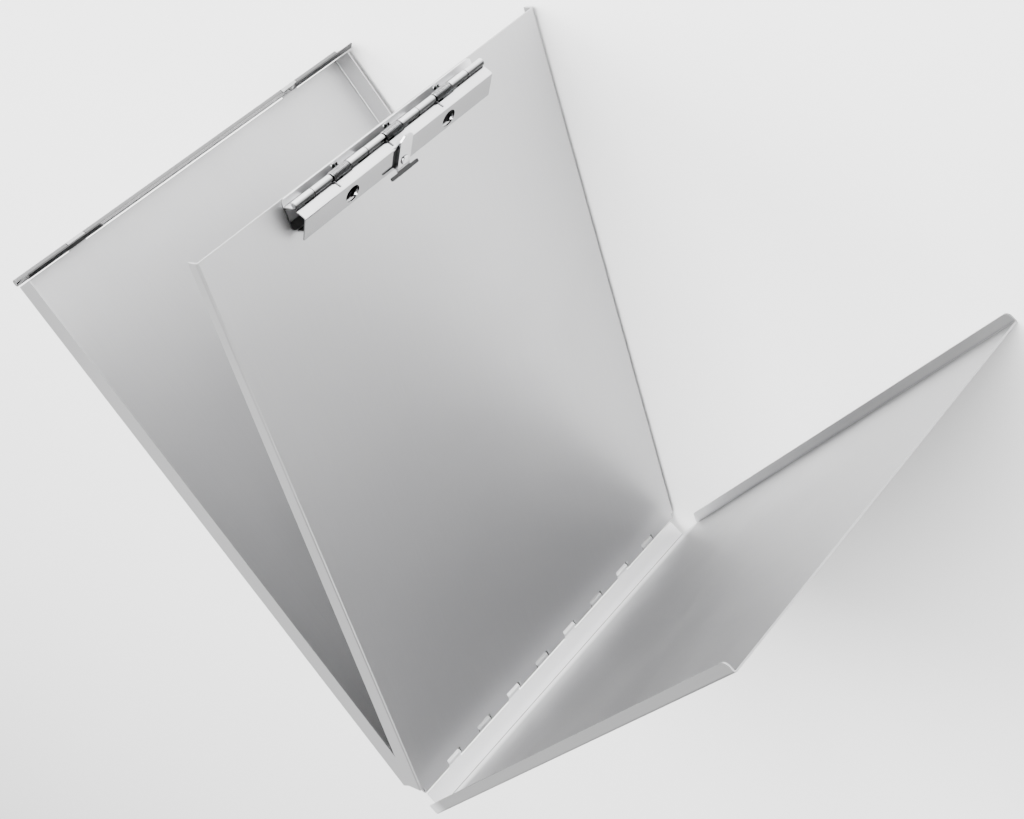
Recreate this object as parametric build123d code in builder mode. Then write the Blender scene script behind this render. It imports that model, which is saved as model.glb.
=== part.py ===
"""Storage clipboard box: a shallow tray, a writing board and a cover folded from
aluminium sheet, which turn about one long rolled hinge.

Millimetres. The tray lies in the XZ plane with its back on Y = 0, its length
along +X away from the hinge, and the hinge pin along +Z. The board and the cover
open towards -Y. The origin is the centre of the tray's back.

Each leaf is drawn in its own section plane: u runs away from the hinge pin and
b towards the leaf's front, both from the pin's axis.
"""

import os
from math import acos, atan2, cos, degrees, hypot, radians, sin

from build123d import *

# ---------------------------------------------------------------- sheet and pins
sheet = 0.8                    # aluminium sheet
bend = 0.9                     # bend radius at the middle of the sheet
pin_radius = 1.0               # hinge pin and latch pin
pin_clearance = 0.05           # between a pin and the roll around it
roll_inner = pin_radius + pin_clearance
roll_outer = roll_inner + sheet
roll_mid = roll_inner + sheet / 2
sweep_clearance = 0.75         # between a roll and the cut edge of another leaf

# ---------------------------------------------------------------- leaves
board_width = 231.8            # outside the board's side flanges
board_length = 319.2           # hinge axis to the board's top edge
board_flange = 10.0            # side flange depth at the hinge, outside
board_flange_top = 5.5         # side flange depth at the top edge
board_flange_start = 2.9       # the flanges begin this far from the axis
board_curl = 250               # degrees of roll beyond the flat sheet

flange_clearance = 0.4         # between the tray's walls and the board's flanges
rim_clearance = 0.5            # between the tray's rim and the closed board
tray_depth = 13.6              # rim to back
tray_wall_start = 4.0          # hinge-side wall, from the axis
tray_end_clearance = 0.7       # between the tray's open end and the latch flap
tray_curl = 262

cover_width = 236.0            # outside the cover's side flanges
cover_length = 292.2           # hinge axis to the cover's free edge
cover_height = 13.27           # axis to the cover's outer face
cover_flange = 6.3             # side flange depth
cover_flange_start = 3.0       # upper flange, from the axis
cover_curl = 225
spine_inset = 5.5              # the spine stops short of the cover's sides
relief_length = 11.0           # notch in the cover's lower hinge corner
relief_width = 4.5
relief_slant = 4.0             # the lower flange's end leans by this much
relief_radius = 4.0
flange_corner = 3.0            # rounding of the flanges' free corners

# ---------------------------------------------------------------- hinge knuckles
knuckle_pitch = 25.4
knuckle_length = 9.5
knuckle_gap = 0.6              # at each end of a knuckle
window_count = 8
window_height = 3.9            # windows reach this far past the axis
roll_length = 226.4
hinge_pin_length = 227.0

# ---------------------------------------------------------------- rest pose
board_angle = 25.7             # tray to board
cover_angle = 50.2             # board to cover
latch_tilt = 5.5               # latch flap, outwards from closed

# ---------------------------------------------------------------- latch flap
latch_overhang = 2.3           # board's top edge to the latch pin
latch_inset = 0.4              # the flap is narrower than the board at each side
latch_middle_drop = 2.05       # rim down to the flap's low middle
lip_length = 48.0
lip_base = 13.1                # latch pin up to the foot of the lip
lip_nose = (-3.0, 14.3)        # hooks over the board's edge
lip_tip = (-1.5, 17.4)         # flared edge that the board slides down
lip_bend = 0.5
lip_round = 5.0
latch_curl = 280
latch_tab_curl = 250
latch_tab_pitch = 154.0
latch_tab_length = 11.0

# ---------------------------------------------------------------- clip
clip_length = 130.0
clip_pin_radius = 1.15
clip_sheet = 0.7
clip_pin_inset = 2.1           # board's top edge to the clip pin
clip_pin_height = 7.1          # board's face to the clip pin
clip_knuckles = 11
clip_knuckle_gap = 0.2
base_places = (1, 4, 7, 10)    # counted from the upper end
spring_places = (3, 6, 9)
base_curl = 250
clip_base_depth = 15.6
clip_corner = 2.0
jaw_roll_gap = 0.308           # the roll's end stops this short of the jaw's top
jaw_ridge = (7.6, 11.85)       # middle of the sheet, from the board's top edge
jaw_tip = (19.1, 5.4)
jaw_bend = 0.9
jaw_hole_radius = 4.4
jaw_hole_pitch = 67.4
jaw_hole_inset = 7.3           # ridge to the holes' centres, along the front
tooth_pitch = 2.2
tooth_depth = 1.3
grip_length = 124.0
grip_hole_margin = 0.5         # the gripper's holes are wider than the jaw's
grip_gap = 0.2                 # teeth to the board's face
grip_top = 2.6                 # ridge to the gripper's upper edge, along the front
grip_foot = 17.0               # where the teeth stand, from the board's top edge
grip_bend = 0.8

# ---------------------------------------------------------------- springs
spring_wire = 0.75
spring_radius = 1.88           # middle of the wire
spring_gap = 0.35
spring_seat = 0.05             # between the upper leg and the jaw's top
upper_leave = -14.3            # angle at which the upper leg leaves the coil
upper_end = 1.0                # ridge to the upper leg's tip, down the jaw's top
spring_lean = 0.3              # the upper leg's tip leans along the clip
spring_bend = 0.8
lower_leave = -16.0            # angle at which the lower leg leaves the coil
lower_end = 0.2                # the lower leg's tip, over the board's face
spring_slot = (1.5, 1.3)

# ---------------------------------------------------------------- lever and rivets
lever_width = 8.4
lever_rise = 1.05              # between the jaw's front and the lever's web
lever_reach = 4.2              # the web's full width runs this far past the ridge
lever_nose = 2.6               # tapered end beyond it
lever_nose_width = 3.0
lever_run = 0.3                # the web runs this far past the jaw's tip
lever_bar = (2.6, 18.7)        # lift bar: depth and width
lever_bar_rise = 0.6           # over the depth of the bar
lever_bar_corner = 0.5
cheek_start = 1.0              # the cheeks begin this far past the ridge
cheek_low = 2.2                # and stand on the jaw from here on
cheek_lift = 0.8               # cheeks over the jaw's sheet at the ridge
cheek_seat = 0.05
rivet_radius = 1.0
rivet_head = 1.3
rivet_head_height = 0.5
rivet_dome = 0.35              # rounding of the heads
rivet_tail = 1.3
rivet_clearance = 0.05
rivet_inset = 1.6              # board's top edge to the base's rivets
rivet_shift = 2.9              # along the clip from the middle of each spring
lever_head = 2.4
lever_head_height = 0.8
lever_head_dome = 0.6
lever_boss = 3.0
lever_rivet_inset = 8.7        # ridge to the lever's rivet, along the front

# ---------------------------------------------------------------- worked out
tray_width = board_width - 2 * (sheet + flange_clearance)
latch_width = board_width - 2 * latch_inset
rim = roll_inner - rim_clearance
tray_back = rim - tray_depth
latch_u = board_length + latch_overhang
latch_b = tray_back + roll_outer
tray_end = latch_u - roll_outer - tray_end_clearance
hinge_x = -(tray_wall_start + tray_end) / 2
hinge_y = tray_back
cover_mid = cover_height - sheet / 2
swept = roll_outer + sweep_clearance
clip_pitch = clip_length / clip_knuckles

windows = [
    (i - (window_count - 1) / 2) * -knuckle_pitch for i in range(window_count)
]
cover_windows = windows[0::2]
tray_windows = windows[1::2]
window_length = knuckle_length + 2 * knuckle_gap


# ---------------------------------------------------------------- drawing planes
def leaf(angle):
    """Section plane of a leaf at an angle from the tray: x is u and y is b."""
    away = (cos(radians(angle)), -sin(radians(angle)), 0)
    return Plane(origin=(hinge_x, hinge_y, 0), x_dir=away, z_dir=(0, 0, -1))


def face_of(section, height):
    """Plane parallel to a leaf at b = height: x is u and y runs against the section's normal."""
    base = section.from_local_coords((0, height, 0))
    return Plane(origin=base, x_dir=section.x_dir, z_dir=section.y_dir)


def across(section, distance):
    """Plane square to a leaf at u = distance: x runs against the section's normal and y is b."""
    base = section.from_local_coords((distance, 0, 0))
    return Plane(origin=base, x_dir=-section.z_dir, z_dir=section.x_dir)


tray_leaf = leaf(0)
board_leaf = leaf(board_angle)
cover_leaf = leaf(board_angle + cover_angle)

latch_leaf = Plane(
    origin=tray_leaf.from_local_coords((latch_u, latch_b, 0)),
    x_dir=(cos(radians(latch_tilt)), sin(radians(latch_tilt)), 0),
    z_dir=(0, 0, -1),
)

# The clip's section: x runs from the board's top edge towards the hinge and y
# away from the board's face.
clip_leaf = Plane(
    origin=board_leaf.from_local_coords((board_length, roll_outer, 0)),
    x_dir=-board_leaf.x_dir,
    z_dir=(0, 0, 1),
)


def place(i):
    """Height of the middle of a place on the clip's barrel."""
    return clip_length / 2 - (i - 0.5) * clip_pitch


rivet_spots = [(rivet_inset, rivet_shift - place(i)) for i in spring_places]


# ---------------------------------------------------------------- tray
with BuildPart() as tray:
    # Pan: base, hinge-side wall and two side walls, open at the latch end.
    with BuildSketch(face_of(tray_leaf, tray_back)):
        with Locations(((tray_wall_start + tray_end) / 2, 0)):
            Rectangle(tray_end - tray_wall_start, tray_width)
    extrude(amount=tray_depth)
    block = tray.part
    back_edges = block.faces().sort_by(Axis.Y)[-1].edges().sort_by(Axis.X)[:-1]
    corner_edges = block.edges().filter_by(Axis.Y).sort_by(Axis.X)[:2]
    fillet(back_edges + corner_edges, radius=bend + sheet / 2)
    rim_face = tray.faces().sort_by(Axis.Y)[0]
    end_face = tray.faces().sort_by(Axis.X)[-1]
    offset(amount=-sheet, openings=[rim_face, end_face])
    # The hinge-side wall is lower: its rim turns over towards the pin.
    with BuildSketch(face_of(tray_leaf, -roll_inner)):
        with Locations((tray_wall_start, 0)):
            Rectangle(2 * (sheet + bend), tray_width - 2 * (sheet + bend))
    extrude(amount=tray_depth, mode=Mode.SUBTRACT)
    with BuildSketch(tray_leaf):
        with BuildLine():
            Line((tray_wall_start + sheet, -roll_mid), (swept, -roll_mid))
        trace(line_width=sheet)
    extrude(amount=tray_width / 2 - sheet - bend, both=True)
    # Knuckles: tabs of the turned rim that curl back over the pin.
    for z in tray_windows:
        with BuildSketch(tray_leaf.offset(-z)):
            with BuildLine():
                Line((tray_wall_start + sheet, -roll_mid), (0, -roll_mid))
                CenterArc((0, 0), roll_mid, -90, -tray_curl)
            trace(line_width=sheet)
        extrude(amount=knuckle_length / 2, both=True)
    # Two tabs of the base that curl over the latch pin.
    for z in (-latch_tab_pitch / 2, latch_tab_pitch / 2):
        with BuildSketch(tray_leaf.offset(z)):
            with BuildLine():
                Line((tray_end - sheet, tray_back + sheet / 2), (latch_u, tray_back + sheet / 2))
                CenterArc((latch_u, latch_b), roll_mid, -90, latch_tab_curl)
            trace(line_width=sheet)
        extrude(amount=latch_tab_length / 2, both=True)
tray.part.label = "tray"

# ---------------------------------------------------------------- writing board
board_flat = board_width / 2 - sheet / 2

with BuildPart() as writing_board:
    with BuildSketch(across(board_leaf, board_flange_start)):
        with BuildLine():
            FilletPolyline(
                (-board_flat, roll_outer - board_flange),
                (-board_flat, roll_mid),
                (board_flat, roll_mid),
                (board_flat, roll_outer - board_flange),
                radius=bend,
            )
        trace(line_width=sheet)
    extrude(amount=board_length - board_flange_start)
    # The flanges taper towards the top edge.
    with BuildSketch(board_leaf):
        with BuildLine():
            Polyline(
                (board_flange_start, roll_outer - board_flange),
                (board_length, roll_outer - board_flange_top),
                (board_length + sheet, roll_outer - board_flange_top),
                (board_length + sheet, roll_outer - 2 * board_flange),
                (board_flange_start, roll_outer - 2 * board_flange),
                close=True,
            )
        make_face()
    extrude(amount=board_width, both=True, mode=Mode.SUBTRACT)
    # Roll around the pin along the whole hinge edge.
    with BuildSketch(board_leaf):
        with BuildLine():
            Line((board_flange_start + sheet, roll_mid), (0, roll_mid))
            CenterArc((0, 0), roll_mid, 90, board_curl)
        trace(line_width=sheet)
    extrude(amount=roll_length / 2, both=True)
    # Windows for the other leaves' knuckles.
    with BuildSketch(face_of(board_leaf, -2 * roll_outer)):
        with Locations([(window_height - roll_outer * 2, z) for z in windows]):
            Rectangle(roll_outer * 4, window_length)
    extrude(amount=4 * roll_outer, mode=Mode.SUBTRACT)
    # Holes for the clip's rivets.
    with BuildSketch(face_of(clip_leaf, -2 * sheet)):
        with Locations(rivet_spots):
            Circle(rivet_radius + rivet_clearance)
    extrude(amount=4 * sheet, mode=Mode.SUBTRACT)
writing_board.part.label = "writing_board"

# ---------------------------------------------------------------- cover
cover_flat = cover_width / 2 - sheet / 2

with BuildPart() as cover:
    with BuildSketch(across(cover_leaf, cover_flange_start)):
        with BuildLine():
            FilletPolyline(
                (-cover_flat, cover_height - cover_flange),
                (-cover_flat, cover_mid),
                (cover_flat, cover_mid),
                (cover_flat, cover_height - cover_flange),
                radius=bend,
            )
        trace(line_width=sheet)
    extrude(amount=cover_length - cover_flange_start)
    # Panel bent down into the spine, which stops clear of the other leaves.
    with BuildSketch(cover_leaf):
        with BuildLine():
            FilletPolyline(
                (cover_flange_start + sheet, cover_mid),
                (-roll_mid, cover_mid),
                (-roll_mid, swept),
                radius=bend,
            )
        trace(line_width=sheet)
    extrude(amount=cover_width / 2 - spine_inset, both=True)
    # Knuckles curl from the spine's foot round the pin.
    for z in cover_windows:
        with BuildSketch(cover_leaf.offset(-z)):
            with BuildLine():
                Line((-roll_mid, swept + sheet), (-roll_mid, 0))
                CenterArc((0, 0), roll_mid, 180, cover_curl)
            trace(line_width=sheet)
        extrude(amount=knuckle_length / 2, both=True)
    # Relief in the lower hinge corner, with a rounded inner corner.
    with BuildSketch(face_of(cover_leaf, cover_height - cover_flange - sheet)) as relief:
        with Locations((0, -cover_width / 2)):
            Rectangle(2 * relief_length, 2 * relief_width)
        fillet(relief.vertices().group_by(Axis.X)[-1].sort_by(Axis.Y)[-1], radius=relief_radius)
    extrude(amount=cover_flange + 2 * sheet, mode=Mode.SUBTRACT)
    # The lower flange's end leans back, and both free ends are rounded.
    with BuildSketch(cover_leaf.offset(cover_width / 2 - relief_width)):
        with BuildLine():
            Polyline(
                (0, cover_height - 2 * sheet),
                (relief_length, cover_height - 2 * sheet),
                (relief_length + relief_slant, cover_height - cover_flange - sheet),
                (0, cover_height - cover_flange - sheet),
                close=True,
            )
        make_face()
    extrude(amount=2 * relief_width, mode=Mode.SUBTRACT)
    flange_line = cover_height - cover_flange + sheet / 2
    free_corners = (
        cover.edges()
        .filter_by(Axis.Z)
        .filter_by(lambda e: cover_leaf.to_local_coords(e.center()).X > cover_length - sheet)
        .filter_by(lambda e: cover_leaf.to_local_coords(e.center()).Y < flange_line)
    )
    fillet(free_corners, radius=flange_corner)
cover.part.label = "cover"

# ---------------------------------------------------------------- hinge pins
with BuildPart() as hinge_pin:
    with BuildSketch(tray_leaf):
        Circle(pin_radius)
    extrude(amount=hinge_pin_length / 2, both=True)
hinge_pin.part.label = "hinge_pin"

with BuildPart() as latch_pin:
    with BuildSketch(latch_leaf):
        Circle(pin_radius)
    extrude(amount=latch_width / 2, both=True)
latch_pin.part.label = "latch_pin"

# ---------------------------------------------------------------- latch flap
latch_middle = rim - latch_middle_drop - latch_b
lip_inner = latch_width / 2 - lip_length

with BuildPart() as latch_flap:
    with BuildSketch(latch_leaf):
        with BuildLine():
            FilletPolyline((-roll_mid, 0), (-roll_mid, lip_base), lip_nose, lip_tip, radius=lip_bend)
            CenterArc((0, 0), roll_mid, 180, latch_curl)
        trace(line_width=sheet)
    extrude(amount=latch_width / 2, both=True)
    # Low middle between the two lips, whose inner corners are rounded.
    with BuildSketch(across(latch_leaf, -4 * roll_outer)):
        with Locations((0, (latch_middle + lip_tip[1] + sheet) / 2)):
            Rectangle(2 * lip_inner, lip_tip[1] + sheet - latch_middle)
        with Locations(
            (lip_inner + lip_round / 2, lip_tip[1] + sheet / 2 - lip_round / 2),
            (-lip_inner - lip_round / 2, lip_tip[1] + sheet / 2 - lip_round / 2),
        ):
            Rectangle(lip_round, lip_round)
        with Locations(
            (lip_inner + lip_round, lip_tip[1] + sheet / 2 - lip_round),
            (-lip_inner - lip_round, lip_tip[1] + sheet / 2 - lip_round),
        ):
            Circle(lip_round, mode=Mode.SUBTRACT)
    extrude(amount=8 * roll_outer, mode=Mode.SUBTRACT)
    # Windows in the barrel for the tray's two tabs.
    with BuildSketch(across(latch_leaf, -4 * roll_outer)):
        with Locations(
            (latch_tab_pitch / 2, (window_height - 2 * roll_outer) / 2),
            (-latch_tab_pitch / 2, (window_height - 2 * roll_outer) / 2),
        ):
            Rectangle(latch_tab_length + 2 * knuckle_gap, window_height + 2 * roll_outer)
    extrude(amount=8 * roll_outer, mode=Mode.SUBTRACT)
latch_flap.part.label = "latch_flap"

# ---------------------------------------------------------------- clip: shared sizes
clip_roll_inner = clip_pin_radius + pin_clearance
clip_roll_outer = clip_roll_inner + clip_sheet
clip_roll_mid = clip_roll_inner + clip_sheet / 2
clip_pin = (clip_pin_inset, clip_pin_height)
wire_radius = spring_wire / 2
coil_length = clip_pitch - 2 * spring_gap

ridge_reach = hypot(jaw_ridge[0] - clip_pin[0], jaw_ridge[1] - clip_pin[1])
ridge_angle = degrees(atan2(jaw_ridge[1] - clip_pin[1], jaw_ridge[0] - clip_pin[0]))
jaw_start = ridge_angle - degrees(acos(clip_roll_mid / ridge_reach))
jaw_curl = 360 - degrees(acos((clip_roll_inner - jaw_roll_gap) / clip_roll_outer))
jaw_foot = (
    clip_pin[0] + clip_roll_mid * cos(radians(jaw_start)),
    clip_pin[1] + clip_roll_mid * sin(radians(jaw_start)),
)
front_length = hypot(jaw_tip[0] - jaw_ridge[0], jaw_tip[1] - jaw_ridge[1])
front_dir = ((jaw_tip[0] - jaw_ridge[0]) / front_length, (jaw_tip[1] - jaw_ridge[1]) / front_length)
front_out = (-front_dir[1], front_dir[0])


def on_front(along, out):
    """Point of the clip's section along the jaw's front from its ridge."""
    return (
        jaw_ridge[0] + along * front_dir[0] + out * front_out[0],
        jaw_ridge[1] + along * front_dir[1] + out * front_out[1],
    )


top_length = hypot(jaw_ridge[0] - jaw_foot[0], jaw_ridge[1] - jaw_foot[1])
top_dir = ((jaw_ridge[0] - jaw_foot[0]) / top_length, (jaw_ridge[1] - jaw_foot[1]) / top_length)


def on_top(below, out):
    """Point of the clip's section on the jaw's sloping top, below its ridge."""
    return (
        jaw_ridge[0] - below * top_dir[0] - out * top_dir[1],
        jaw_ridge[1] - below * top_dir[1] + out * top_dir[0],
    )


def off_coil(angle, run):
    """Point of the clip's section on a spring's leg, which leaves the coil's wire along its tangent."""
    away = (cos(radians(angle)), sin(radians(angle)))
    return (
        clip_pin[0] + spring_radius * away[0] - run * away[1],
        clip_pin[1] + spring_radius * away[1] + run * away[0],
    )


# The upper leg runs straight until it can lie on the jaw's top, and the lower
# leg runs straight down into the base's slot.
leg_out = clip_sheet / 2 + wire_radius + spring_seat
leg_leaves = off_coil(upper_leave, 0)
leg_height = top_dir[0] * (leg_leaves[1] - jaw_ridge[1]) - top_dir[1] * (leg_leaves[0] - jaw_ridge[0])
leg_climb = sin(radians(90 + upper_leave) - atan2(top_dir[1], top_dir[0]))
leg_run = (leg_out - leg_height) / leg_climb
foot_leaves = off_coil(lower_leave, 0)
foot_run = (foot_leaves[1] - lower_end) / cos(radians(lower_leave))
foot_tip = off_coil(lower_leave, -foot_run)
foot_inset = coil_length / 2 - wire_radius

# Plane on the jaw's front: x runs down the front, and the normal points out.
front_x = clip_leaf.x_dir * front_dir[0] + clip_leaf.y_dir * front_dir[1]
front_z = clip_leaf.x_dir * front_out[0] + clip_leaf.y_dir * front_out[1]
front_plane = Plane(origin=clip_leaf.from_local_coords((*jaw_ridge, 0)), x_dir=front_x, z_dir=front_z)

# ---------------------------------------------------------------- clip base
with BuildPart() as clip_base:
    with BuildSketch(face_of(clip_leaf, 0)):
        with Locations((clip_base_depth / 2, 0)):
            RectangleRounded(clip_base_depth, clip_length, clip_corner)
    extrude(amount=clip_sheet)
    tab_x = clip_pin[0] + clip_roll_mid
    for i in base_places:
        with BuildSketch(clip_leaf.offset(place(i))):
            with BuildLine():
                Line((tab_x, clip_sheet / 2), (tab_x, clip_pin[1]))
                CenterArc(clip_pin, clip_roll_mid, 0, base_curl)
            trace(line_width=clip_sheet)
        extrude(amount=clip_pitch / 2 - clip_knuckle_gap, both=True)
    # Openings left where the knuckles' tabs were lifted out of the plate.
    with BuildSketch(face_of(clip_leaf, 0)):
        with Locations([(tab_x + clip_sheet + clip_pin_height / 2, -place(i)) for i in base_places]):
            Rectangle(clip_pin_height, clip_pitch - 2 * clip_knuckle_gap)
        # Slots that hold the springs' lower legs.
        with Locations([(foot_tip[0], foot_inset - place(i)) for i in spring_places]):
            Rectangle(*spring_slot)
        with Locations(rivet_spots):
            Circle(rivet_radius + rivet_clearance)
    extrude(amount=clip_sheet, mode=Mode.SUBTRACT)
clip_base.part.label = "clip_base"

with BuildPart() as clip_pin_part:
    with BuildSketch(clip_leaf):
        with Locations(clip_pin):
            Circle(clip_pin_radius)
    extrude(amount=clip_length / 2, both=True)
clip_pin_part.part.label = "clip_pin"

# ---------------------------------------------------------------- clip jaw
spring_sweep = hypot(spring_radius, leg_run) + spring_seat

with BuildPart() as clip_jaw:
    with BuildSketch(clip_leaf):
        with BuildLine():
            FilletPolyline(jaw_foot, jaw_ridge, jaw_tip, radius=jaw_bend)
            CenterArc(clip_pin, clip_roll_mid, jaw_start, -jaw_curl)
        trace(line_width=clip_sheet)
    extrude(amount=clip_length / 2, both=True)
    for i in base_places:
        with BuildSketch(clip_leaf.offset(place(i))):
            with Locations(clip_pin):
                Circle(clip_roll_outer + sweep_clearance)
        extrude(amount=clip_pitch / 2 + clip_knuckle_gap, both=True, mode=Mode.SUBTRACT)
    for i in spring_places:
        with BuildSketch(clip_leaf.offset(place(i))):
            with Locations(clip_pin):
                Circle(spring_sweep)
        extrude(amount=clip_pitch / 2 + clip_knuckle_gap, both=True, mode=Mode.SUBTRACT)
    # Two round holes and the rivet's hole in the front.
    with BuildSketch(front_plane.offset(-clip_sheet)):
        with Locations((jaw_hole_inset, jaw_hole_pitch / 2), (jaw_hole_inset, -jaw_hole_pitch / 2)):
            Circle(jaw_hole_radius)
        with Locations((lever_rivet_inset, 0)):
            Circle(rivet_radius + rivet_clearance)
    extrude(amount=2 * clip_sheet, mode=Mode.SUBTRACT)
clip_jaw.part.label = "clip_jaw"

# ---------------------------------------------------------------- toothed gripper
grip_out = -clip_sheet
grip_start = on_front(grip_top, grip_out)
grip_knee = on_front((grip_foot - jaw_ridge[0] - grip_out * front_out[0]) / front_dir[0], grip_out)

with BuildPart() as gripper:
    with BuildSketch(clip_leaf):
        with BuildLine():
            FilletPolyline(grip_start, grip_knee, (grip_foot, grip_gap), radius=grip_bend)
        trace(line_width=clip_sheet)
    extrude(amount=grip_length / 2, both=True)
    # Teeth along the foot.
    tooth_count = int(grip_length / tooth_pitch) - 1
    with BuildSketch(across(clip_leaf, grip_foot - clip_sheet)):
        with GridLocations(tooth_pitch, 0, tooth_count, 1):
            with BuildLine():
                Polyline(
                    (-tooth_pitch / 3, grip_gap),
                    (0, grip_gap + tooth_depth),
                    (tooth_pitch / 3, grip_gap),
                    close=True,
                )
            make_face()
    extrude(amount=2 * clip_sheet, mode=Mode.SUBTRACT)
    with BuildSketch(front_plane.offset(-2 * clip_sheet)):
        with Locations((lever_rivet_inset, 0)):
            Circle(rivet_radius + rivet_clearance)
        with Locations((jaw_hole_inset, jaw_hole_pitch / 2), (jaw_hole_inset, -jaw_hole_pitch / 2)):
            Circle(jaw_hole_radius + grip_hole_margin)
    extrude(amount=2 * clip_sheet, mode=Mode.SUBTRACT)
gripper.part.label = "gripper"

# ---------------------------------------------------------------- lift lever
lever_seat = clip_sheet / 2 + cheek_seat
lever_under = clip_sheet / 2 + lever_rise
lever_out = lever_under + clip_sheet / 2
lever_top = lever_under + clip_sheet
lever_length = front_length + lever_run
lever_foot = on_front(lever_length, lever_out)
bar_end = (lever_foot[0] + lever_bar[0], lever_foot[1] + lever_bar_rise)
bar_x = clip_leaf.x_dir * lever_bar[0] + clip_leaf.y_dir * lever_bar_rise
bar_z = clip_leaf.y_dir * lever_bar[0] - clip_leaf.x_dir * lever_bar_rise
bar_plane = Plane(origin=clip_leaf.from_local_coords((*lever_foot, 0)), x_dir=bar_x, z_dir=bar_z)

with BuildPart() as lift_lever:
    # Web of the channel over the jaw's front, past the ridge to a tapered nose.
    with BuildSketch(clip_leaf):
        with BuildLine():
            FilletPolyline(on_front(-lever_reach, lever_out), lever_foot, bar_end, radius=bend)
        trace(line_width=clip_sheet)
    extrude(amount=lever_width / 2, both=True)
    with BuildSketch(front_plane.offset(lever_under)) as nose:
        with BuildLine():
            Polyline(
                (-lever_reach, -lever_width / 2),
                (-lever_reach, lever_width / 2),
                (-lever_reach - lever_nose, lever_nose_width / 2),
                (-lever_reach - lever_nose, -lever_nose_width / 2),
                close=True,
            )
        make_face()
        fillet(nose.vertices().group_by(Axis.X)[0], radius=lever_nose_width / 3)
    extrude(amount=clip_sheet)
    # The bar at its end is wider than the channel.
    with BuildSketch(bar_plane.offset(-clip_sheet / 2)):
        with Locations((lever_bar[0] / 2 + bend / 2, 0)):
            RectangleRounded(lever_bar[0] - bend, lever_bar[1], lever_bar_corner)
    extrude(amount=clip_sheet)
    # Cheeks that stand on the jaw's sheet.
    for side in (-1, 1):
        with BuildSketch(clip_leaf.offset(side * (lever_width - clip_sheet) / 2)):
            with BuildLine():
                Polyline(
                    on_front(-cheek_start, lever_out),
                    on_front(front_length, lever_out),
                    on_front(front_length, lever_seat),
                    on_front(cheek_low, lever_seat),
                    on_front(0, lever_seat + cheek_lift),
                    close=True,
                )
            make_face()
        extrude(amount=clip_sheet / 2, both=True)
    # Boss through which the rivet draws the web down to the jaw.
    with BuildSketch(front_plane.offset(lever_seat)):
        with Locations((lever_rivet_inset, 0)):
            Circle(lever_boss)
    extrude(amount=lever_out - lever_seat)
    with BuildSketch(front_plane):
        with Locations((lever_rivet_inset, 0)):
            Circle(rivet_radius + rivet_clearance)
    extrude(amount=2 * lever_top, mode=Mode.SUBTRACT)
lift_lever.part.label = "lift_lever"

# ---------------------------------------------------------------- rivets
rivet_under = 1.5 * clip_sheet + rivet_clearance

with BuildPart() as lever_rivet:
    with BuildSketch(front_plane.offset(lever_top)):
        with Locations((lever_rivet_inset, 0)):
            Circle(lever_head)
    extrude(amount=lever_head_height)
    dome = lever_rivet.faces().sort_by(Axis(clip_leaf.origin, front_z))[-1]
    fillet(dome.edges(), radius=lever_head_dome)
    with BuildSketch(front_plane.offset(lever_top)):
        with Locations((lever_rivet_inset, 0)):
            Circle(rivet_radius)
    extrude(amount=-(lever_top + rivet_under))
    with BuildSketch(front_plane.offset(-rivet_under)):
        with Locations((lever_rivet_inset, 0)):
            Circle(rivet_tail)
    extrude(amount=-rivet_head_height)
lever_rivet.part.label = "lever_rivet"

with BuildPart() as base_rivets:
    with BuildSketch(face_of(clip_leaf, clip_sheet)):
        with Locations(rivet_spots):
            Circle(rivet_head)
    extrude(amount=rivet_head_height)
    domes = base_rivets.faces().group_by(Axis(clip_leaf.origin, clip_leaf.y_dir))[-1]
    fillet(domes.edges(), radius=rivet_dome)
    with BuildSketch(face_of(clip_leaf, clip_sheet)):
        with Locations(rivet_spots):
            Circle(rivet_radius)
    extrude(amount=-(clip_sheet + sheet))
    with BuildSketch(face_of(clip_leaf, -sheet)):
        with Locations(rivet_spots):
            Circle(rivet_head)
    extrude(amount=-rivet_head_height)
base_rivets.part.label = "base_rivets"


# ---------------------------------------------------------------- torsion springs
def make_spring(number, middle):
    """Close-wound coil on the clip pin, one leg on the jaw and one in the base."""
    upper = middle + coil_length / 2 - wire_radius
    lower = middle - coil_length / 2 + wire_radius
    with BuildPart() as spring:
        with BuildSketch(clip_leaf.offset(middle)):
            with Locations(clip_pin):
                Circle(spring_radius + wire_radius)
                Circle(spring_radius - wire_radius, mode=Mode.SUBTRACT)
        extrude(amount=coil_length / 2, both=True)
        # Upper leg: off the coil, then up along the jaw's sloping top.
        leg_start = clip_leaf.from_local_coords((*leg_leaves, upper))
        leg_knee = clip_leaf.from_local_coords((*off_coil(upper_leave, leg_run), upper))
        leg_tip = clip_leaf.from_local_coords((*on_top(upper_end, leg_out), upper - spring_lean))
        with BuildLine() as leg:
            FilletPolyline(leg_start, leg_knee, leg_tip, radius=spring_bend)
        with BuildSketch(Plane(origin=leg.line @ 0, z_dir=leg.line % 0)):
            Circle(wire_radius)
        sweep(path=leg.line)
        # Lower leg: straight down into the slot in the base.
        foot_start = clip_leaf.from_local_coords((*foot_leaves, lower))
        foot_end = clip_leaf.from_local_coords((*foot_tip, lower))
        with BuildSketch(Plane(origin=foot_start, z_dir=foot_end - foot_start)):
            Circle(wire_radius)
        extrude(amount=foot_run)
    spring.part.label = f"clip_spring_{number}"
    return spring


springs = [make_spring(n, place(i)) for n, i in enumerate(spring_places, start=1)]

# ---------------------------------------------------------------- files
os.makedirs("parts", exist_ok=True)
pieces = [
    tray,
    writing_board,
    cover,
    hinge_pin,
    latch_pin,
    latch_flap,
    clip_base,
    base_rivets,
    clip_pin_part,
    clip_jaw,
    gripper,
    lift_lever,
    lever_rivet,
    *springs,
]
for piece in pieces:
    export_step(piece.part, f"parts/{piece.part.label}.step")
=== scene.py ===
from math import cos, pi, radians, sin

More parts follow.
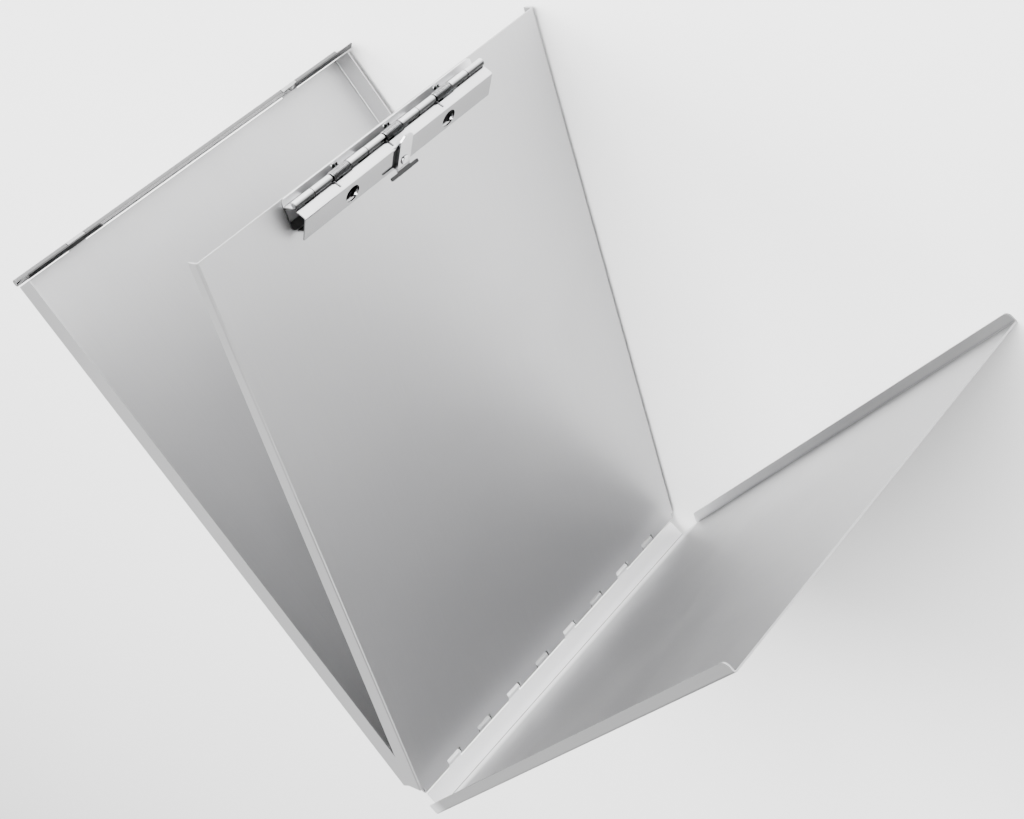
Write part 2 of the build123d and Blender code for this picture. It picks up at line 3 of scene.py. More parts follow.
import bpy
from bpy.props import FloatProperty, FloatVectorProperty, IntProperty, PointerProperty
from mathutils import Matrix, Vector


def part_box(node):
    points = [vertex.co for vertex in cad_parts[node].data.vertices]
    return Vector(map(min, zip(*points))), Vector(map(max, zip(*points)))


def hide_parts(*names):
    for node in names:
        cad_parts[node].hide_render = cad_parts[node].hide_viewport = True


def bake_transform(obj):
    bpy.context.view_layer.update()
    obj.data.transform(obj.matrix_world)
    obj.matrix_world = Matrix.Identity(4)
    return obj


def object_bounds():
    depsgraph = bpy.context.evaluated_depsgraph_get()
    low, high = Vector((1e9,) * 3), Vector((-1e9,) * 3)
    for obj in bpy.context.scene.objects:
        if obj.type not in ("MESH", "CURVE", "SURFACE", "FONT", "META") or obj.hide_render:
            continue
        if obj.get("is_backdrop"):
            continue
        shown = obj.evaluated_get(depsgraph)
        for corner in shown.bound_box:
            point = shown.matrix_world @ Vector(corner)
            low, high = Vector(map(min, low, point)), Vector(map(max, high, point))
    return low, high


bl_info = {
    "name": "Storage Clipboard Box",
    "version": (1, 0, 0),
    "blender": (4, 5, 0),
    "location": "View3D > Sidebar > Clipboard",
    "description": "Finishes a folded aluminium storage clipboard, winds its springs and lights it",
    "category": "Object",
}

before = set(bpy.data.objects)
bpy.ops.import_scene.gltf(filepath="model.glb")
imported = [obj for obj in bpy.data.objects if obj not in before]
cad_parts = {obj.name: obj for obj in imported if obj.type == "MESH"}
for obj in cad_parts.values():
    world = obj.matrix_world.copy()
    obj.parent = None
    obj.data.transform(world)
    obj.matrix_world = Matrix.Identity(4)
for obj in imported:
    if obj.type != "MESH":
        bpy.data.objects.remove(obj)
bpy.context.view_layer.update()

MM = 0.001
BOARD_ANGLE = radians(25.7)
COVER_ANGLE = radians(75.9)


# ---------------------------------------------------------------- sizes and colours
class SheetFinish(bpy.types.PropertyGroup):
    """Satin aluminium of the tray, the board, the cover and the latch flap."""

    colour: FloatVectorProperty(
        name="Aluminium", description="Colour of the bare sheet", subtype="COLOR", size=3,
        default=(0.50, 0.50, 0.505), min=0.0, max=1.0)
    roughness: FloatProperty(
        name="Roughness", description="Middle roughness of the sheet's faces", default=0.36, min=0.0, max=1.0)
    grain_width: FloatProperty(
        name="Grain width", description="Width of one rolling line", unit="LENGTH", default=0.35 * MM)
    grain_length: FloatProperty(
        name="Grain length", description="Length of one rolling line", unit="LENGTH", default=45 * MM)
    # Reach of the painted highlight on the cut and folded edges.
    edge_radius: FloatProperty(
        name="Edge radius", description="Rounding that the cut edges catch the light with",
        unit="LENGTH", default=0.3 * MM)
    # Reach of the painted shade in the creases.
    crease_reach: FloatProperty(
        name="Crease reach", description="How far a crease darkens the sheet", unit="LENGTH", default=2.5 * MM)


class ClipFinish(bpy.types.PropertyGroup):
    """Bright plated steel of the clip, and the plain steel of pins and springs."""

    plate_colour: FloatVectorProperty(
        name="Plating", description="Colour of the clip's plating", subtype="COLOR", size=3,
        default=(0.72, 0.72, 0.73), min=0.0, max=1.0)
    plate_roughness: FloatProperty(
        name="Plating roughness", description="Roughness of the plating", default=0.08, min=0.0, max=1.0)
    steel_colour: FloatVectorProperty(
        name="Steel", description="Colour of the pins and springs", subtype="COLOR", size=3,
        default=(0.40, 0.40, 0.41), min=0.0, max=1.0)
    steel_roughness: FloatProperty(
        name="Steel roughness", description="Roughness of pins and springs", default=0.27, min=0.0, max=1.0)


class SpringSizes(bpy.types.PropertyGroup):
    """Close-wound torsion springs on the clip's pin."""

    wire: FloatProperty(name="Wire", description="Diameter of the wire", unit="LENGTH", default=0.75 * MM)
    radius: FloatProperty(
        name="Coil radius", description="Pin's axis to the middle of the wire", unit="LENGTH", default=1.88 * MM)
    pitch: FloatProperty(
        name="Pitch", description="From one turn to the next", unit="LENGTH", default=0.8 * MM)
    wire_sides: IntProperty(name="Wire sides", description="Faces around the wire", default=12, min=6)
    turn_steps: IntProperty(name="Turn steps", description="Steps in each turn", default=40, min=12)
    upper_leave: FloatProperty(
        name="Upper leg", description="Where the upper leg leaves the coil", subtype="ANGLE", default=radians(-14.3))
    upper_run: FloatProperty(
        name="Upper run", description="Upper leg up to its bend", unit="LENGTH", default=2.34 * MM)
    upper_bend: FloatProperty(
        name="Upper bend", description="Turn that lays the leg on the jaw", subtype="ANGLE", default=radians(22.57))
    upper_tip: FloatProperty(
        name="Upper tip", description="Length that lies on the jaw", unit="LENGTH", default=2.9 * MM)
    upper_lean: FloatProperty(
        name="Upper lean", description="How far the tip leans along the clip", unit="LENGTH", default=0.3 * MM)
    lower_leave: FloatProperty(
        name="Lower leg", description="Where the lower leg leaves the coil", subtype="ANGLE", default=radians(-16))
    lower_run: FloatProperty(
        name="Lower run", description="Lower leg down to its slot", unit="LENGTH", default=6.62 * MM)
    bend_radius: FloatProperty(
        name="Bend radius", description="Bend of the upper leg", unit="LENGTH", default=0.8 * MM)


class StudioSizes(bpy.types.PropertyGroup):
    """Camera, floor and soft lights."""

    camera_place: FloatVectorProperty(
        name="Camera place", description="Where the camera stands", subtype="TRANSLATION", size=3,
        default=(0.16559, -0.79638, 0.47488))
    camera_turn: FloatVectorProperty(
        name="Camera turn", description="How the camera is turned", subtype="EULER", size=3,
        default=(radians(-46.173), radians(36.745), radians(-134.759)))
    lens: FloatProperty(name="Lens", description="Focal length in millimetres", default=62.51)
    floor_size: FloatProperty(name="Floor", description="Side of the floor", unit="LENGTH", default=8.0)
    floor_colour: FloatVectorProperty(
        name="Floor colour", description="Colour of the floor", subtype="COLOR", size=3,
        default=(0.93, 0.93, 0.93), min=0.0, max=1.0)
    key_power: FloatProperty(name="Key light", description="Power of the key light in watts", default=128.0)
    back_power: FloatProperty(name="Back light", description="Power of the light behind in watts", default=110.0)
    sky_power: FloatProperty(name="Sky light", description="Power of the light above in watts", default=32.0)
    fill_power: FloatProperty(name="Fill light", description="Power of the fill light in watts", default=12.0)
    world_light: FloatProperty(name="Room light", description="Strength of the room's light", default=0.38)


# ---------------------------------------------------------------- shader helpers
def place_node(tree, kind, x, y, **values):
    """Adds a shader node, sets its properties, and returns it."""
    node = tree.nodes.new(kind)
    node.location = (x, y)
    for key, value in values.items():
        setattr(node, key, value)
    return node


def new_material(name):
    """A material with only its Principled BSDF and its output."""
    material = bpy.data.materials.new(name)
    material.use_nodes = True
    tree = material.node_tree
    return material, tree, tree.nodes["Principled BSDF"]


def new_group(name, inputs, outputs):
    """A shader group with the named sockets, and its two end nodes."""
    tree = bpy.data.node_groups.new(name, "ShaderNodeTree")
    for label, kind, value in inputs:
        socket = tree.interface.new_socket(name=label, in_out="INPUT", socket_type=kind)
        if value is not None:
            socket.default_value = value
    for label, kind in outputs:
        tree.interface.new_socket(name=label, in_out="OUTPUT", socket_type=kind)
    first = place_node(tree, "NodeGroupInput", -900, 0)
    last = place_node(tree, "NodeGroupOutput", 700, 0)
    return tree, first, last


def use_group(tree, group, x, y, **values):
    """Places a shader group in a material with its own values."""
    node = place_node(tree, "ShaderNodeGroup", x, y, node_tree=group)
    for key, value in values.items():
        node.inputs[key.replace("_", " ").capitalize()].default_value = value
    return node


def rolled_grain():
    """Long fine lines along one direction of the sheet, as rolling leaves them."""
    tree, first, last = new_group(
        "rolled_grain",
        [("Turn", "NodeSocketVector", None), ("Line width", "NodeSocketFloat", 0.0004),
         ("Line length", "NodeSocketFloat", 0.04), ("Depth", "NodeSocketFloat", 0.1)],
        [("Lines", "NodeSocketFloat"), ("Normal", "NodeSocketVector")])
    coords = place_node(tree, "ShaderNodeTexCoord", -1100, 300)
    turned = place_node(tree, "ShaderNodeVectorRotate", -700, 300, rotation_type="EULER_XYZ")
    tree.links.new(coords.outputs["Object"], turned.inputs["Vector"])
    tree.links.new(first.outputs["Turn"], turned.inputs["Rotation"])
    sizes = place_node(tree, "ShaderNodeCombineXYZ", -700, 0)
    tree.links.new(first.outputs["Line length"], sizes.inputs["X"])
    tree.links.new(first.outputs["Line width"], sizes.inputs["Y"])
    tree.links.new(first.outputs["Line width"], sizes.inputs["Z"])
    scaled = place_node(tree, "ShaderNodeVectorMath", -450, 200, operation="DIVIDE")
    tree.links.new(turned.outputs["Vector"], scaled.inputs[0])
    tree.links.new(sizes.outputs["Vector"], scaled.inputs[1])
    noise = place_node(tree, "ShaderNodeTexNoise", -200, 200)
    noise.inputs["Scale"].default_value = 1.0
    noise.inputs["Detail"].default_value = 3.0
    noise.inputs["Roughness"].default_value = 0.6
    tree.links.new(scaled.outputs["Vector"], noise.inputs["Vector"])
    bump = place_node(tree, "ShaderNodeBump", 250, -100)
    bump.inputs["Distance"].default_value = 0.00002
    tree.links.new(noise.outputs["Fac"], bump.inputs["Height"])
    tree.links.new(first.outputs["Depth"], bump.inputs["Strength"])
    tree.links.new(noise.outputs["Fac"], last.inputs["Lines"])
    tree.links.new(bump.outputs["Normal"], last.inputs["Normal"])
    return tree


def edge_light():
    """Where a cut or folded edge is, as a mask for a painted highlight: 0 on faces and 1 on the edge itself."""
    tree, first, last = new_group(
        "edge_light",
        [("Radius", "NodeSocketFloat", 0.0003)],
        [("Edge", "NodeSocketFloat")])
    rounded = place_node(tree, "ShaderNodeBevel", -600, 100, samples=6)
    tree.links.new(first.outputs["Radius"], rounded.inputs["Radius"])
    plain = place_node(tree, "ShaderNodeNewGeometry", -600, -150)
    match = place_node(tree, "ShaderNodeVectorMath", -300, 0, operation="DOT_PRODUCT")
    tree.links.new(rounded.outputs["Normal"], match.inputs[0])
    tree.links.new(plain.outputs["Normal"], match.inputs[1])
    spread = place_node(tree, "ShaderNodeMapRange", 0, 0)
    spread.inputs["From Min"].default_value = 0.995
    spread.inputs["From Max"].default_value = 0.85
    tree.links.new(match.outputs["Value"], spread.inputs["Value"])
    tree.links.new(spread.outputs["Result"], last.inputs["Edge"])
    return tree


def handling_marks():
    """Soft clouds and thin wipes that hands leave on bare metal."""
    tree, first, last = new_group(
        "handling_marks",
        [("Size", "NodeSocketFloat", 12.0)],
        [("Marks", "NodeSocketFloat")])
    coords = place_node(tree, "ShaderNodeTexCoord", -1100, 300)
    clouds = place_node(tree, "ShaderNodeTexNoise", -500, 200)
    clouds.inputs["Detail"].default_value = 4.0
    clouds.inputs["Roughness"].default_value = 0.55
    clouds.inputs["Distortion"].default_value = 0.6
    tree.links.new(coords.outputs["Object"], clouds.inputs["Vector"])
    tree.links.new(first.outputs["Size"], clouds.inputs["Scale"])
    soften = place_node(tree, "ShaderNodeMapRange", 0, 100, interpolation_type="SMOOTHSTEP")
    soften.inputs["From Min"].default_value = 0.35
    soften.inputs["From Max"].default_value = 0.65
    tree.links.new(clouds.outputs["Fac"], soften.inputs["Value"])
    tree.links.new(soften.outputs["Result"], last.inputs["Marks"])
    return tree


def crevice_shade():
    """How deep a point lies in a crease, as a mask for painted shade: 0 on open faces and 1 in a crease."""
    tree, first, last = new_group(
        "crevice_shade",
        [("Reach", "NodeSocketFloat", 0.003)],
        [("Crevice", "NodeSocketFloat")])
    open_sky = place_node(tree, "ShaderNodeAmbientOcclusion", -500, 0, samples=8)
    tree.links.new(first.outputs["Reach"], open_sky.inputs["Distance"])
    spread = place_node(tree, "ShaderNodeMapRange", 0, 0, interpolation_type="SMOOTHSTEP")
    spread.inputs["From Min"].default_value = 0.85
    spread.inputs["From Max"].default_value = 0.35
    tree.links.new(open_sky.outputs["AO"], spread.inputs["Value"])
    tree.links.new(spread.outputs["Result"], last.inputs["Crevice"])
    return tree


def straight_band():
    """A straight band across the object: 1 between its two sides, with a fade at each."""
    tree, first, last = new_group(
        "straight_band",
        [("Direction", "NodeSocketVector", None), ("Start", "NodeSocketFloat", 0.0),
         ("Fade in", "NodeSocketFloat", 0.0003), ("Width", "NodeSocketFloat", 1.0),
         ("Fade out", "NodeSocketFloat", 0.0003)],
        [("Band", "NodeSocketFloat")])
    coords = place_node(tree, "ShaderNodeTexCoord", -900, 300)
    along = place_node(tree, "ShaderNodeVectorMath", -500, 200, operation="DOT_PRODUCT")
    tree.links.new(coords.outputs["Object"], along.inputs[0])
    tree.links.new(first.outputs["Direction"], along.inputs[1])
    past = place_node(tree, "ShaderNodeMath", -300, 100, operation="SUBTRACT")
    tree.links.new(along.outputs["Value"], past.inputs[0])
    tree.links.new(first.outputs["Start"], past.inputs[1])
    begins = place_node(tree, "ShaderNodeMath", -50, 200, operation="DIVIDE", use_clamp=True)
    tree.links.new(past.outputs["Value"], begins.inputs[0])
    tree.links.new(first.outputs["Fade in"], begins.inputs[1])
    left = place_node(tree, "ShaderNodeMath", -50, -50, operation="SUBTRACT")
    tree.links.new(first.outputs["Width"], left.inputs[0])
    tree.links.new(past.outputs["Value"], left.inputs[1])
    ends = place_node(tree, "ShaderNodeMath", 150, -50, operation="DIVIDE", use_clamp=True)
    tree.links.new(left.outputs["Value"], ends.inputs[0])
    tree.links.new(first.outputs["Fade out"], ends.inputs[1])
    both = place_node(tree, "ShaderNodeMath", 400, 100, operation="MULTIPLY")
    tree.links.new(begins.outputs["Value"], both.inputs[0])
    tree.links.new(ends.outputs["Value"], both.inputs[1])
    tree.links.new(both.outputs["Value"], last.inputs["Band"])
    return tree


def mixed_colour(tree, factor, first, second, x, y):
    """Mixes two colours by a factor socket, and returns the result's socket."""
    mix = place_node(tree, "ShaderNodeMix", x, y, data_type="RGBA")
    tree.links.new(factor, mix.inputs["Factor"])
    mix.inputs[6].default_value = (*first, 1.0)
    mix.inputs[7].default_value = (*second, 1.0)
    return mix.outputs[2]


def ranged(tree, value, low, high, x, y):
    """Spreads a 0 to 1 value between two limits, and returns the result's socket."""
    spread = place_node(tree, "ShaderNodeMapRange", x, y)
    spread.inputs["To Min"].default_value = low
    spread.inputs["To Max"].default_value = high
    tree.links.new(value, spread.inputs["Value"])
    return spread.outputs["Result"]


def toned(tree, colour, factor, other, x, y):
    """Mixes a colour socket towards another colour, and returns the result's socket."""
    mix = place_node(tree, "ShaderNodeMix", x, y, data_type="RGBA")
    tree.links.new(factor, mix.inputs["Factor"])
    tree.links.new(colour, mix.inputs[6])
    mix.inputs[7].default_value = (*other, 1.0)
    return mix.outputs[2]


def banded(tree, colour, base, bands):
    """Lays straight bands of painted shade and painted highlight, a darker or lighter tone, over a colour socket."""
    for number, (direction, start, fade_in, width, fade_out, amount) in enumerate(bands):
        band = use_group(
            tree, bpy.data.node_groups["straight_band"], -900, -700 - 250 * number,
            direction=direction, start=start, fade_in=fade_in, width=width, fade_out=fade_out)
        colour = toned(tree, colour, band.outputs["Band"], shaded(base, amount), 50 + 150 * number, 400)
    return colour


def middle(node):
    """The middle of a node's box."""
    low, high = (Vector(corner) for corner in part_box(node))
    return (low + high) / 2


def shaded(colour, amount):
    """A colour made lighter or darker by a factor, kept within 0 to 1."""
    return tuple(min(1.0, part * amount) for part in colour)


def satin_sheet(name, finish, turn, tone=1.0, edge_highlight=1.16, bands=()):
    """Satin aluminium sheet whose grain runs along a leaf turned by an angle, with painted edge highlights, painted
    crease shade, a tone that paints the whole leaf darker as shade, and bands of painted shade and highlight.
    """
    material, tree, shader = new_material(name)
    grain = use_group(
        tree, bpy.data.node_groups["rolled_grain"], -900, 200,
        turn=(0.0, 0.0, turn), line_width=finish.grain_width, line_length=finish.grain_length, depth=0.35)
    marks = use_group(tree, bpy.data.node_groups["handling_marks"], -900, -100, size=9.0)
    edge = use_group(tree, bpy.data.node_groups["edge_light"], -900, -300, radius=finish.edge_radius)
    # Painted shade: a tone below 1 darkens the whole leaf's colour.
    base = shaded(finish.colour, tone)
    lines = mixed_colour(tree, grain.outputs["Lines"], shaded(base, 0.93), shaded(base, 1.05), -550, 300)
    # Painted highlight: the cut and folded edges are lightened.
    edge_highlighted = place_node(tree, "ShaderNodeMix", -300, 200, data_type="RGBA")
    tree.links.new(edge.outputs["Edge"], edge_highlighted.inputs["Factor"])
    tree.links.new(lines, edge_highlighted.inputs[6])
    edge_highlighted.inputs[7].default_value = (*shaded(finish.colour, edge_highlight), 1.0)
    # Painted shade: the creases are darkened to a fifth of the sheet's colour.
    crease = use_group(tree, bpy.data.node_groups["crevice_shade"], -900, -500, reach=finish.crease_reach)
    colour = toned(tree, edge_highlighted.outputs[2], crease.outputs["Crevice"], shaded(base, 0.2), -100, 300)
    tree.links.new(banded(tree, colour, finish.colour, bands), shader.inputs["Base Color"])
    rough = ranged(
        tree, marks.outputs["Marks"], finish.roughness - 0.03, finish.roughness + 0.04, -550, -100)
    lined = place_node(tree, "ShaderNodeMath", -300, -100, operation="MULTIPLY_ADD")
    tree.links.new(grain.outputs["Lines"], lined.inputs[0])
    lined.inputs[1].default_value = 0.08
    tree.links.new(rough, lined.inputs[2])
    tree.links.new(lined.outputs["Value"], shader.inputs["Roughness"])
    tree.links.new(grain.outputs["Normal"], shader.inputs["Normal"])
    shader.inputs["Metallic"].default_value = 1.0
    return material


def bright_plate(name, colour, roughness, radius, reach=3.5 * MM, bands=()):
    """Plated steel: smooth, with faint clouds, painted highlights on its edges, painted shade in its creases and
    bands of painted shade.
    """
    material, tree, shader = new_material(name)
    marks = use_group(tree, bpy.data.node_groups["handling_marks"], -900, 0, size=60.0)
    edge = use_group(tree, bpy.data.node_groups["edge_light"], -900, -300, radius=radius)
    clouds = mixed_colour(tree, marks.outputs["Marks"], shaded(colour, 0.96), colour, -550, 200)
    # Painted highlight: the edges are lightened by a quarter.
    edge_highlighted = place_node(tree, "ShaderNodeMix", -300, 200, data_type="RGBA")
    tree.links.new(edge.outputs["Edge"], edge_highlighted.inputs["Factor"])
    tree.links.new(clouds, edge_highlighted.inputs[6])
    edge_highlighted.inputs[7].default_value = (*shaded(colour, 1.25), 1.0)
    # Painted shade: the creases are darkened nearly to black.
    crease = use_group(tree, bpy.data.node_groups["crevice_shade"], -900, -500, reach=reach)
    deep = toned(tree, edge_highlighted.outputs[2], crease.outputs["Crevice"], shaded(colour, 0.05), -100, 300)
    tree.links.new(banded(tree, deep, colour, bands), shader.inputs["Base Color"])
    rough = ranged(tree, marks.outputs["Marks"], roughness - 0.02, roughness + 0.03, -550, -100)
    tree.links.new(rough, shader.inputs["Roughness"])
    shader.inputs["Metallic"].default_value = 1.0
    return material


def dress(node, material):
    """Gives a CAD node its finish."""
    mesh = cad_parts[node].data
    mesh.materials[0] = material


# ---------------------------------------------------------------- modelling helpers
def deselect():
    """Leaves edit mode and deselects everything."""
    if bpy.context.mode != "OBJECT":
        bpy.ops.object.mode_set(mode="OBJECT")
    bpy.ops.object.select_all(action="DESELECT")


def select_end(mesh_object, loop):
    """In edit mode, selects only the vertices of one open end."""
    bpy.ops.object.mode_set(mode="EDIT")
    bpy.ops.mesh.select_mode(type="VERT")
    bpy.ops.mesh.select_all(action="DESELECT")
    bpy.ops.object.mode_set(mode="OBJECT")
    for index in loop:
        mesh_object.data.vertices[index].select = True
    bpy.ops.object.mode_set(mode="EDIT")


def open_end(mesh_object, upper):
    """Indices of the open loop at the upper or the lower end of a coil."""
    counts = {}
    for face in mesh_object.data.polygons:
        for key in face.edge_keys:
            counts[key] = counts.get(key, 0) + 1
    border = {index for key, count in counts.items() if count == 1 for index in key}
    middle = sum(mesh_object.data.vertices[i].co.z for i in border) / len(border)
    return [i for i in border if (mesh_object.data.vertices[i].co.z > middle) == upper]


# ---------------------------------------------------------------- operators
class CLIPBOARD_OT_leaves(bpy.types.Operator):
    """Finish the tray, the board, the cover and the latch flap"""

    bl_idname = "clipboard.leaves"
    bl_label = "Finish the Leaves"

    def execute(self, context):
        finish = context.scene.clipboard_sheet
        dress("tray", satin_sheet("tray_aluminium", finish, 0.0))
        dress("writing_board", satin_sheet("board_aluminium", finish, BOARD_ANGLE))
        # Painted light on the cover: the whole leaf darkened as shade, the spine lightened as a painted highlight, a
        # painted reflection of the spine fading over the panel next to it, and a thin painted shade line in the
        # fold.
        along = Vector((cos(COVER_ANGLE), -sin(COVER_ANGLE), 0.0))
        fold = along.dot(middle("hinge_pin")) - 0.6 * MM
        dress("cover", satin_sheet("cover_aluminium", finish, COVER_ANGLE, tone=0.8, edge_highlight=1.05, bands=(
            (-along, -fold, 0.2 * MM, 3 * MM, 0.2 * MM, 1.85),
            (along, fold, 0.2 * MM, 16 * MM, 9 * MM, 1.75),
            (along, fold - 0.35 * MM, 0.15 * MM, 1.2 * MM, 0.2 * MM, 0.1))))
        # Painted shade on the latch flap: the whole flap darkened, and its lips painted darker still as a painted
        # dark reflection.
        dress("latch_flap", satin_sheet("latch_aluminium", finish, pi / 2, tone=0.38, edge_highlight=1.1, bands=(
            ((0.0, -1.0, 0.0), 14.8 * MM, 0.3 * MM, 1.0, 0.3 * MM, 0.16),)))
        return {"FINISHED"}


class CLIPBOARD_OT_clip(bpy.types.Operator):
    """Finish the clip, its rivets and the pins"""

    bl_idname = "clipboard.clip"
    bl_label = "Finish the Clip"

    def execute(self, context):
        finish = context.scene.clipboard_clip
        barrel = barrel_shade_band()
        down, ridge = down_board("clip_pin", 5.6 * MM)
        # Painted shade on the jaw: its front face past the ridge darkened, and a dark band on the barrel's lower
        # half.
        dress("clip_jaw", bright_plate(
            "clip_plating", finish.plate_colour, finish.plate_roughness, 0.25 * MM, reach=8 * MM,
            bands=((down, ridge, 0.3 * MM, 1.0, 0.3 * MM, 0.40), (*barrel, 0.04))))
        # Painted shade on the base: the part inside the clip, behind the jaw, darkened, and the same dark band on
        # the barrel.
        dress("clip_base", bright_plate(
            "base_plating", shaded(finish.plate_colour, 1.15), 0.42, 0.25 * MM, reach=1.0 * MM,
            bands=((down, ridge - 4.4 * MM, 0.8 * MM, 1.0, 0.3 * MM, 0.08), (*barrel, 0.04))))
        # Painted shade on the lever: its plating a fifth darker than the jaw's, and its bar darkened further.
        dress("lift_lever", bright_plate(
            "lever_plating", shaded(finish.plate_colour, 0.8), 0.14, 0.25 * MM,
            bands=((down, -159.2 * MM, 0.3 * MM, 1.0, 0.3 * MM, 0.06),)))
        dress("gripper", bright_plate("gripper_plating", shaded(finish.plate_colour, 0.8), 0.2, 0.15 * MM))
        rivet = bright_plate("rivet_plating", finish.plate_colour, finish.plate_roughness + 0.05, 0.3 * MM)
        dress("base_rivets", rivet)
        dress("lever_rivet", rivet)
        steel = bright_plate("pin_steel_finish", finish.steel_colour, finish.steel_roughness, 0.15 * MM)
        for node in ("hinge_pin", "latch_pin", "clip_pin"):
            dress(node, steel)
        return {"FINISHED"}


def down_board(node, further):
    """The direction down the board's length, and a line past a node's middle along it."""
    down = Vector((-cos(BOARD_ANGLE), sin(BOARD_ANGLE), 0.0))
    return down, down.dot(middle(node)) + further


def barrel_shade_band():
    """A band of painted shade on the lower half of the clip's barrel, where the jaw's top shades it."""
    turned = BOARD_ANGLE - radians(41.0)
    across = Vector((-cos(turned), sin(turned), 0.0))
    return across, across.dot(middle("clip_pin")) - 0.3 * MM, 1.3 * MM, 2.4 * MM, 0.1 * MM


class CLIPBOARD_OT_springs(bpy.types.Operator):
    """Wind the clip's three torsion springs"""

    bl_idname = "clipboard.springs"
    bl_label = "Wind the Springs"

    def execute(self, context):
        finish = context.scene.clipboard_clip
        sizes = context.scene.clipboard_springs
        # Painted shade: the springs get the same dark band on the barrel's lower half.
        steel = bright_plate(
            "spring_steel_finish", shaded(finish.steel_colour, 0.8), finish.steel_roughness, 0.1 * MM,
            reach=1.5 * MM, bands=((*barrel_shade_band(), 0.1),))
        for node in ("clip_spring_1", "clip_spring_2", "clip_spring_3"):
            spring = wind_spring(node + "_wire", node, sizes)
            spring.data.materials.append(steel)
        return {"FINISHED"}


def wind_spring(name, node, sizes):
    """One spring: a helix round the pin, a leg on the jaw and a leg in the base."""
    low, high = (Vector(corner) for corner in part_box(node))
    axis = middle("clip_pin")
    length = high.z - low.z - sizes.wire
    turns = round(length / sizes.pitch) + (sizes.upper_leave - sizes.lower_leave) / (2 * pi)
    deselect()
    bpy.ops.mesh.primitive_circle_add(
        vertices=sizes.wire_sides, radius=sizes.wire / 2, location=(sizes.radius, 0, 0), rotation=(pi / 2, 0, 0))
    spring = bpy.context.object
    spring.name = name
    bpy.ops.object.transform_apply(location=True, rotation=True, scale=True)
    screw = spring.modifiers.new("coil", "SCREW")
    screw.angle = 2 * pi * turns
    screw.screw_offset = length
    screw.steps = int(sizes.turn_steps * turns)
    screw.render_steps = screw.steps
    bpy.ops.object.modifier_apply(modifier=screw.name)
    spring.rotation_euler = (0, 0, pi - BOARD_ANGLE + sizes.lower_leave)
    spring.location = (axis.x, axis.y, low.z + sizes.wire / 2)
    bpy.ops.object.transform_apply(location=True, rotation=True, scale=True)
    add_leg(spring, axis, sizes, upper=True)
    add_leg(spring, axis, sizes, upper=False)
    bpy.ops.object.mode_set(mode="EDIT")
    bpy.ops.mesh.select_all(action="SELECT")
    bpy.ops.mesh.remove_doubles(threshold=0.00001)
    bpy.ops.mesh.normals_make_consistent(inside=False)
    bpy.ops.object.mode_set(mode="OBJECT")
    bpy.ops.object.shade_smooth()
    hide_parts(node)
    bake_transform(spring)
    return spring


def add_leg(spring, axis, sizes, upper):
    """Draws out a coil's end along its tangent, bends it and closes it."""
    # Angles are measured from the direction of the hinge, turning away from the board's face.
    sign = 1 if upper else -1
    leave = sizes.upper_leave if upper else sizes.lower_leave
    turned = pi - BOARD_ANGLE + leave
    heading = turned + sign * pi / 2
    run = sizes.upper_run if upper else sizes.lower_run
    select_end(spring, open_end(spring, upper))
    bpy.ops.mesh.extrude_region_move(
        TRANSFORM_OT_translate={"value": (run * cos(heading), run * sin(heading), 0)})
    if upper:
        tip = Vector((
            axis.x + sizes.radius * cos(turned) + run * cos(heading),
            axis.y + sizes.radius * sin(turned) + run * sin(heading),
            0))
        centre = tip + sizes.bend_radius * Vector((sin(heading), -cos(heading), 0))
        bpy.ops.mesh.spin(
            steps=6, angle=-sizes.upper_bend, center=centre, axis=(0, 0, 1))
        heading -= sizes.upper_bend
        bpy.ops.mesh.extrude_region_move(
            TRANSFORM_OT_translate={
                "value": (sizes.upper_tip * cos(heading), sizes.upper_tip * sin(heading), -sizes.upper_lean)})
    bpy.ops.mesh.edge_face_add()
    bpy.ops.object.mode_set(mode="OBJECT")


class CLIPBOARD_OT_studio(bpy.types.Operator):
    """Set up the floor, the lights and the camera"""

    bl_idname = "clipboard.studio"
    bl_label = "Set Up the Studio"

    def execute(self, context):
        sizes = context.scene.clipboard_studio
        lay_floor(sizes)
        soft_light("key_light", (0.7, -0.6, 1.5), sizes.key_power, 1.5)
        soft_light("back_light", (1.7, 1.3, 1.5), sizes.back_power, 1.8)
        soft_light("sky_light", (-0.7, 2.3, 1.6), sizes.sky_power, 3.0)
        soft_light("fill_light", (-1.5, -0.8, 0.9), sizes.fill_power, 1.0)
        light_room(context, sizes)
        bpy.ops.object.camera_add(location=sizes.camera_place, rotation=sizes.camera_turn)
        camera = bpy.context.object
        camera.name = "camera"
        camera.data.lens = sizes.lens
        camera.data.sensor_width = 36.0
        context.scene.camera = camera
        return {"FINISHED"}


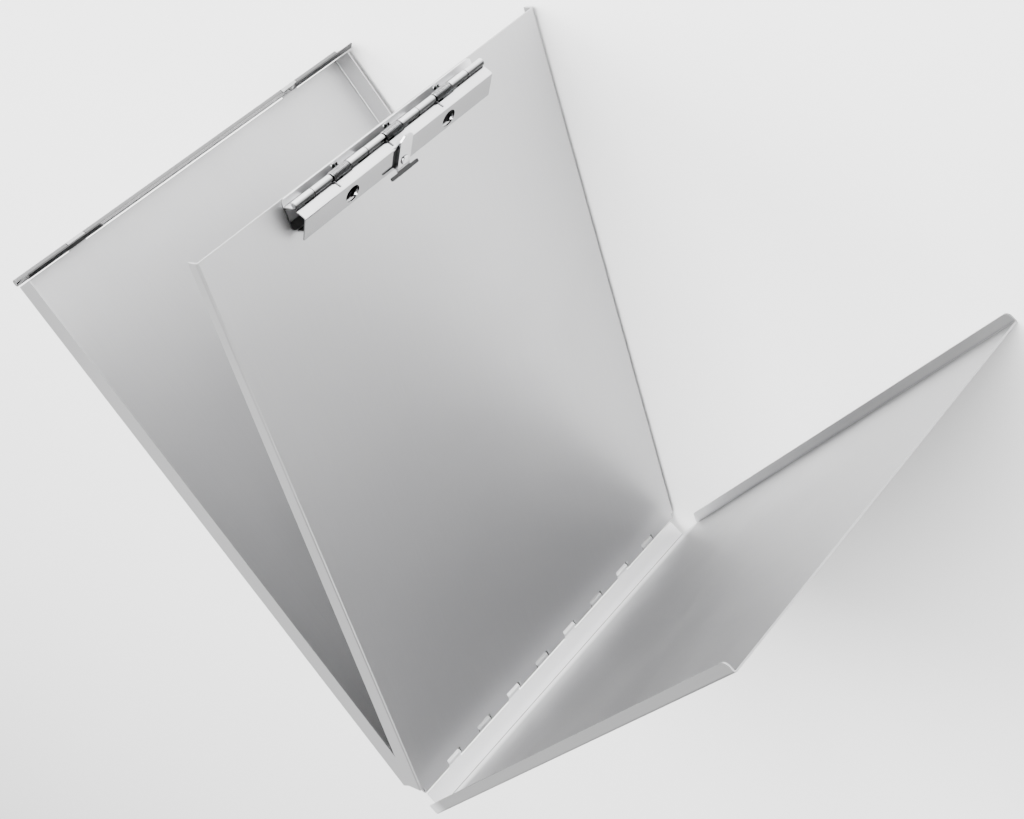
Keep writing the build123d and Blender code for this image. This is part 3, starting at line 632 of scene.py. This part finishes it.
def lay_floor(sizes):
    """A plain pale floor under the lowest point of the part."""
    low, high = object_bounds()
    deselect()
    bpy.ops.mesh.primitive_plane_add(size=sizes.floor_size, location=(0, 0, low[2]))
    floor = bpy.context.object
    floor.name = "floor"
    bpy.ops.object.transform_apply(location=True)
    material, tree, shader = new_material("floor_paper")
    coords = place_node(tree, "ShaderNodeTexCoord", -900, 0)
    tooth = place_node(tree, "ShaderNodeTexNoise", -650, 0)
    tooth.inputs["Scale"].default_value = 6.0
    tree.links.new(coords.outputs["Object"], tooth.inputs["Vector"])
    colour = mixed_colour(
        tree, tooth.outputs["Fac"], shaded(sizes.floor_colour, 0.99), sizes.floor_colour, -300, 0)
    tree.links.new(colour, shader.inputs["Base Color"])
    shader.inputs["Roughness"].default_value = 0.9
    floor.data.materials.append(material)
    floor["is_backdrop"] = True


def soft_light(name, place, power, size):
    """A large soft light aimed at the part's middle."""
    aim = Vector((-0.03, -0.1, 0.0)) - Vector(place)
    bpy.ops.object.light_add(
        type="AREA", location=place, rotation=aim.to_track_quat("-Z", "Y").to_euler())
    light = bpy.context.object
    light.name = name
    light.data.shape = "SQUARE"
    light.data.size = size
    light.data.energy = power


def light_room(context, sizes):
    """Even pale light from all round."""
    world = bpy.data.worlds.new("room")
    world.use_nodes = True
    background = world.node_tree.nodes["Background"]
    background.inputs["Color"].default_value = (1.0, 1.0, 1.0, 1.0)
    background.inputs["Strength"].default_value = sizes.world_light
    context.scene.world = world


class CLIPBOARD_PT_panel(bpy.types.Panel):
    """Sizes, finishes and steps of the clipboard"""

    bl_idname = "CLIPBOARD_PT_panel"
    bl_label = "Storage Clipboard Box"
    bl_space_type = "VIEW_3D"
    bl_region_type = "UI"
    bl_category = "Clipboard"

    def draw(self, context):
        for group in (context.scene.clipboard_sheet, context.scene.clipboard_clip,
                      context.scene.clipboard_springs, context.scene.clipboard_studio):
            box = self.layout.box()
            for key in group.__annotations__:
                box.prop(group, key)
        for step in STEPS:
            self.layout.operator(step.bl_idname)


STEPS = (CLIPBOARD_OT_leaves, CLIPBOARD_OT_clip, CLIPBOARD_OT_springs, CLIPBOARD_OT_studio)
GROUPS = {
    "clipboard_sheet": SheetFinish,
    "clipboard_clip": ClipFinish,
    "clipboard_springs": SpringSizes,
    "clipboard_studio": StudioSizes,
}


def register():
    for name, group in GROUPS.items():
        bpy.utils.register_class(group)
        setattr(bpy.types.Scene, name, PointerProperty(type=group))
    for step in STEPS:
        bpy.utils.register_class(step)
    bpy.utils.register_class(CLIPBOARD_PT_panel)


def unregister():
    bpy.utils.unregister_class(CLIPBOARD_PT_panel)
    for step in reversed(STEPS):
        bpy.utils.unregister_class(step)
    for name, group in GROUPS.items():
        delattr(bpy.types.Scene, name)
        bpy.utils.unregister_class(group)


def main():
    """Builds the whole scene around the frame."""
    register()
    rolled_grain()
    edge_light()
    handling_marks()
    crevice_shade()
    straight_band()
    bpy.ops.clipboard.leaves()
    bpy.ops.clipboard.clip()
    bpy.ops.clipboard.springs()
    bpy.ops.clipboard.studio()


if __name__ == "__main__":
    main()
